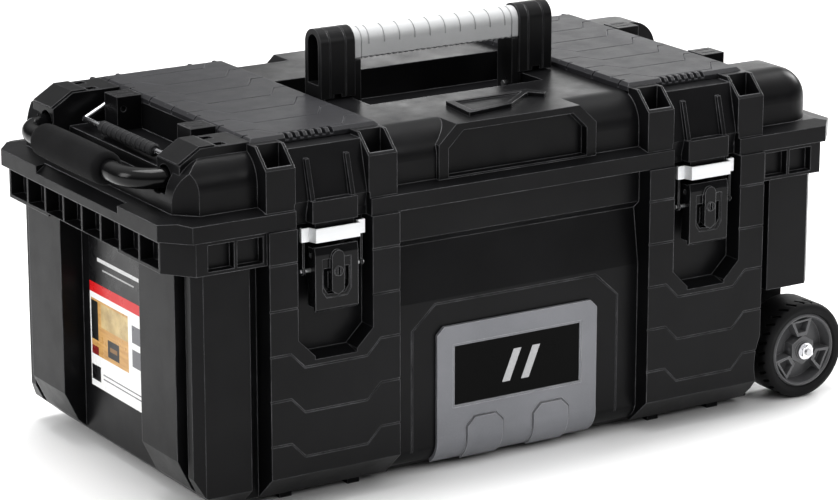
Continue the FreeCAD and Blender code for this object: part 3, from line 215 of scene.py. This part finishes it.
def badge_print():
    """The near-black window panel, with its two raised slanted bars in light grey."""
    # The badge's edge colour is a painted highlight along its rounded edges.
    material = plastic("badge_dark", base=(0.0006, 0.0006, 0.0006), light=(0.0012, 0.0012, 0.0012),
                       rough=0.24, rough_spread=0.05, grain=500.0, depth=0.00002, edge=0.0004,
                       painted_edge_tone=(0.02, 0.02, 0.02), gloss=0.04)
    n = Nodes(material)
    axes = n.add("ShaderNodeSeparateXYZ", {"Vector": n.position()})
    raised = n.math("LESS_THAN", axes.outputs["Y"], BADGE_BAR_DEPTH)
    panel_tone = n.shader.inputs["Base Color"].links[0].from_socket
    bar_tone = n.mix(n.noise(n.position(), 420.0), (0.42, 0.42, 0.43), (0.52, 0.52, 0.53))
    n.link(n.mix(raised, panel_tone, bar_tone), n.shader.inputs["Base Color"])
    return material


BLACK = (0.0024, 0.0024, 0.0027)
LIFT = (0.0056, 0.0056, 0.0062)
# Painted edge highlight for the black shell and trim: a light grey standing in for light catching the
# rounded edges.
EDGE_HIGHLIGHT = (0.22, 0.22, 0.23)
# In each look below the edge colour is a painted highlight on the rounded edges; on the grey grip it
# is darker, painted shade.
LOOKS = {
    "shell_black": plastic(
        "shell_black", base=BLACK, light=LIFT, rough=0.34, rough_spread=0.06, grain=1100.0,
        painted_edge_tone=EDGE_HIGHLIGHT),
    "panel_black": plastic(
        "panel_black", base=(0.012, 0.012, 0.0135), light=(0.020, 0.020, 0.0225), rough=0.46,
        rough_spread=0.05, grain=800.0, depth=0.00010, painted_edge_tone=(0.13, 0.13, 0.14), gloss=0.16),
    "trim_black": plastic(
        "trim_black", base=BLACK, light=LIFT, rough=0.38, rough_spread=0.07, grain=1000.0, painted_edge_tone=EDGE_HIGHLIGHT),
    "handle_black": plastic(
        "handle_black", base=(0.0035, 0.0035, 0.0038), light=(0.008, 0.008, 0.0085), rough=0.32,
        rough_spread=0.06, grain=900.0, painted_edge_tone=(0.13, 0.13, 0.135)),
    "plate_grey": plastic(
        "plate_grey", base=(0.155, 0.158, 0.172), light=(0.205, 0.208, 0.225), rough=0.36,
        rough_spread=0.06, grain=700.0, depth=0.00004, edge=0.0010, painted_edge_tone=(0.62, 0.62, 0.64),
        gloss=0.3),
    "grip_grey": plastic(
        "grip_grey", base=(0.40, 0.405, 0.41), light=(0.50, 0.505, 0.51), rough=0.34,
        rough_spread=0.07, grain=700.0, depth=0.00004, edge=0.0008, painted_edge_tone=(0.20, 0.20, 0.21),
        gloss=0.3),
    "badge_dark": badge_print(),
    "label_print": label_print(),
    "lever_black": plastic(
        "lever_black", base=(0.0022, 0.0022, 0.0025), light=(0.005, 0.005, 0.0054), rough=0.18,
        rough_spread=0.05, grain=900.0, depth=0.00002, painted_edge_tone=(0.24, 0.24, 0.25), gloss=0.12),
    "tube_black": plastic(
        "tube_black", base=(0.0012, 0.0012, 0.0014), light=(0.0026, 0.0026, 0.0028), rough=0.17,
        rough_spread=0.04, grain=600.0, depth=0.00001, painted_edge_tone=(0.006, 0.006, 0.006), gloss=0.16),
    "foam_black": plastic(
        "foam_black", base=(0.0016, 0.0016, 0.0018), light=(0.0065, 0.0065, 0.0068), rough=0.90,
        rough_spread=0.06, grain=1500.0, depth=0.00040, painted_edge_tone=(0.008, 0.008, 0.008), sheen=0.03,
        gloss=0.04),
    "bail_rubber": plastic(
        "bail_rubber", base=(0.010, 0.010, 0.0105), light=(0.024, 0.024, 0.026), rough=0.50,
        rough_spread=0.08, grain=1000.0, depth=0.00008, painted_edge_tone=(0.10, 0.10, 0.10)),
    "seal_rubber": plastic(
        "seal_rubber", base=(0.012, 0.012, 0.012), light=(0.02, 0.02, 0.02), rough=0.70,
        rough_spread=0.08),
    "strap_silver": plastic(
        "strap_silver", base=(0.62, 0.63, 0.64), light=(0.74, 0.75, 0.76), rough=0.34,
        rough_spread=0.06, grain=160.0, depth=0.00003, edge=0.0005, painted_edge_tone=(0.85, 0.85, 0.86),
        metallic=0.55, stretch=(0.15, 1, 9), gloss=0.5),
    "leaf_steel": plastic(
        "leaf_steel", base=(0.010, 0.010, 0.011), light=(0.018, 0.018, 0.019), rough=0.34,
        rough_spread=0.08, painted_edge_tone=(0.2, 0.2, 0.2), metallic=0.4),
    "axle_steel": plastic(
        "axle_steel", base=(0.42, 0.42, 0.43), light=(0.55, 0.55, 0.56), rough=0.32,
        rough_spread=0.08, grain=300.0, depth=0.00003, edge=0.0004, painted_edge_tone=(0.7, 0.7, 0.7),
        metallic=1.0, stretch=(1, 0.1, 1), gloss=0.5),
    "wire_steel": plastic(
        "wire_steel", base=(0.45, 0.45, 0.47), light=(0.60, 0.60, 0.62), rough=0.22,
        rough_spread=0.05, grain=400.0, depth=0.00001, edge=0.0005, painted_edge_tone=(0.7, 0.7, 0.7),
        metallic=1.0, gloss=0.5),
    "nut_chrome": plastic(
        "nut_chrome", base=(0.62, 0.62, 0.64), light=(0.74, 0.74, 0.76), rough=0.20,
        rough_spread=0.04, grain=400.0, depth=0.00001, edge=0.0005, painted_edge_tone=(0.85, 0.85, 0.85),
        metallic=1.0, gloss=0.5),
    "hub_grey": plastic(
        "hub_grey", base=(0.060, 0.060, 0.063), light=(0.100, 0.100, 0.104), rough=0.34,
        rough_spread=0.07, grain=900.0, edge=0.0009, painted_edge_tone=(0.42, 0.42, 0.425), gloss=0.3),
    "tyre_black": plastic(
        "tyre_black", base=(0.0030, 0.0030, 0.0033), light=(0.008, 0.008, 0.0085), rough=0.55,
        rough_spread=0.08, grain=900.0, depth=0.00012, edge=0.0008, painted_edge_tone=(0.02, 0.02, 0.02)),
}

slot_of = {s["node"]: s["material_slot"] for s in frame["record"]["subparts"]}
for name, node in nodes.items():
    node.data.materials.clear()
    node.data.materials.append(LOOKS[slot_of[name]])


# ---------------------------------------------------------------- foam sleeve
FOAM_BORE = 0.0092       # radius of the hole, just clear of the tube
FOAM_SOFT = 0.0065       # rounding of the ends
FOAM_CROWN = 0.0006      # how much fuller the middle is
FOAM_DENT = 0.012        # depth of the dents, as a share of the radius
FOAM_DENT_SCALE = 95.0   # dents per metre, roughly
FOAM_LIP = 0.002         # how far the hole's edge is set in


def foam_profile(half, radius, bore):
    """(radius, along) of the foam sleeve: a bore, soft crowned ends and a slightly full middle."""
    steps, stations = 7, 46
    end = []
    for step in range(steps + 1):
        turn = math.pi / 2 * step / steps
        end.append((radius - FOAM_SOFT * (1 - math.sin(turn)) - FOAM_CROWN,
                    half - FOAM_SOFT * (1 - math.cos(turn))))
    middle = []
    for step in range(1, stations):
        along = -half + FOAM_SOFT + (2 * half - 2 * FOAM_SOFT) * step / stations
        middle.append((radius - FOAM_CROWN * (along / half) ** 2, along))
    start = [(across, -along) for across, along in end]
    return [(bore, -half + FOAM_LIP)] + start + middle + end[::-1] + [(bore, half - FOAM_LIP)]


def foam_sleeve():
    """The soft sleeve on the pull-out handle: a closed ring form with small dents and pores."""
    low, high = (Vector(corner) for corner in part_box("foam_grip"))
    centre = (low + high) / 2
    profile = foam_profile((high.y - low.y) / 2, (high.z - low.z) / 2, FOAM_BORE)
    around = 72
    mesh = bmesh.new()
    rings = []
    for radius, along in profile:
        ring = []
        for index in range(around):
            angle = 2 * math.pi * index / around
            spot = Vector((math.sin(angle) * radius, along, math.cos(angle) * radius))
            if radius > FOAM_BORE:
                spot *= 1.0 - FOAM_DENT * (0.5 + 0.5 * noise.noise(spot * FOAM_DENT_SCALE))
                spot.y = along
            ring.append(mesh.verts.new(centre + spot))
        rings.append(ring)
    for before, after in zip(rings, rings[1:] + rings[:1]):
        for index in range(around):
            following = (index + 1) % around
            mesh.faces.new((before[index], before[following], after[following], after[index]))
    bmesh.ops.recalc_face_normals(mesh, faces=mesh.faces)
    data = bpy.data.meshes.new("foam_sleeve")
    mesh.to_mesh(data)
    mesh.free()
    for polygon in data.polygons:
        polygon.use_smooth = True
    data.materials.append(LOOKS["foam_black"])
    piece = bpy.data.objects.new("foam_sleeve", data)
    bpy.context.scene.collection.objects.link(piece)
    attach(piece, "pull_handle")
    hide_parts("foam_grip")


foam_sleeve()

# ---------------------------------------------------------------- floor, light and camera
def floor():
    """A large plain pale floor."""
    mesh = bpy.data.meshes.new("floor")
    mesh.from_pydata([(-14, -14, 0), (14, -14, 0), (14, 14, 0), (-14, 14, 0)], [], [(0, 1, 2, 3)])
    plane = bpy.data.objects.new("floor", mesh)
    bpy.context.scene.collection.objects.link(plane)
    material = bpy.data.materials.new("floor")
    material.use_nodes = True
    n = Nodes(material)
    tone = n.mix(n.noise(n.position(), 3.0), (0.86, 0.86, 0.86), (0.89, 0.89, 0.89))
    n.link(tone, n.shader.inputs["Base Color"])
    n.shader.inputs["Roughness"].default_value = 0.55
    mesh.materials.append(material)


def softbox(name, location, target, size, energy):
    """A rectangular light that faces a target."""
    light = bpy.data.lights.new(name, "AREA")
    light.shape = "RECTANGLE"
    light.size, light.size_y = size
    light.energy = energy
    lamp = bpy.data.objects.new(name, light)
    lamp.location = location
    lamp.rotation_euler = (Vector(target) - Vector(location)).to_track_quat("-Z", "Y").to_euler()
    bpy.context.scene.collection.objects.link(lamp)


def studio():
    """An overhead-bright surround with one large top light, a back light and two side lights."""
    world = bpy.data.worlds.new("studio")
    world.use_nodes = True
    tree = world.node_tree
    direction = tree.nodes.new("ShaderNodeTexCoord")
    axes = tree.nodes.new("ShaderNodeSeparateXYZ")
    ramp = tree.nodes.new("ShaderNodeMapRange")
    tree.links.new(direction.outputs["Generated"], axes.inputs["Vector"])
    tree.links.new(axes.outputs["Z"], ramp.inputs["Value"])
    ramp.interpolation_type = "SMOOTHSTEP"
    for name, value in (("From Min", 0.15), ("From Max", 0.90), ("To Min", 0.11), ("To Max", 1.35)):
        ramp.inputs[name].default_value = value
    tree.links.new(ramp.outputs["Result"], tree.nodes["Background"].inputs["Strength"])
    tree.nodes["Background"].inputs["Color"].default_value = (1.0, 1.0, 1.0, 1.0)
    bpy.context.scene.world = world
    bpy.context.scene.view_settings.view_transform = "Standard"
    softbox("top_light", location=(-0.1, 0.3, 2.4), target=(0.0, 0.0, 0.2),
            size=(1.6, 1.2), energy=60.0)
    softbox("back_light", location=(2.0, 2.3, 0.95), target=(0.2, 0.0, 0.3),
            size=(1.5, 0.8), energy=10.0)
    softbox("left_light", location=(-2.4, 0.3, 1.2), target=(-0.2, 0.0, 0.2),
            size=(0.8, 1.2), energy=26.0)
    softbox("right_light", location=(2.3, 0.4, 1.5), target=(0.2, 0.0, 0.2),
            size=(0.8, 1.2), energy=40.0)
    softbox("front_light", location=(1.2, -2.4, 1.6), target=(0.0, 0.0, 0.15),
            size=(0.5, 1.0), energy=10.0)


def camera():
    """The camera, looking at the box from the left and slightly above."""
    azimuth, elevation = math.radians(-31.963), math.radians(16.03)
    target, distance = Vector((-0.00325, 0.0, 0.1526)), 3.1099
    back = Vector((math.sin(azimuth) * math.cos(elevation),
                   -math.cos(azimuth) * math.cos(elevation),
                   math.sin(elevation)))
    data = bpy.data.cameras.new("camera")
    data.lens = 145.67
    data.sensor_width = 36.0
    data.clip_end = 60.0
    eye = bpy.data.objects.new("camera", data)
    eye.location = target + back * distance
    eye.rotation_euler = (-back).to_track_quat("-Z", "Y").to_euler()
    bpy.context.scene.collection.objects.link(eye)
    bpy.context.scene.camera = eye


floor()
studio()
camera()
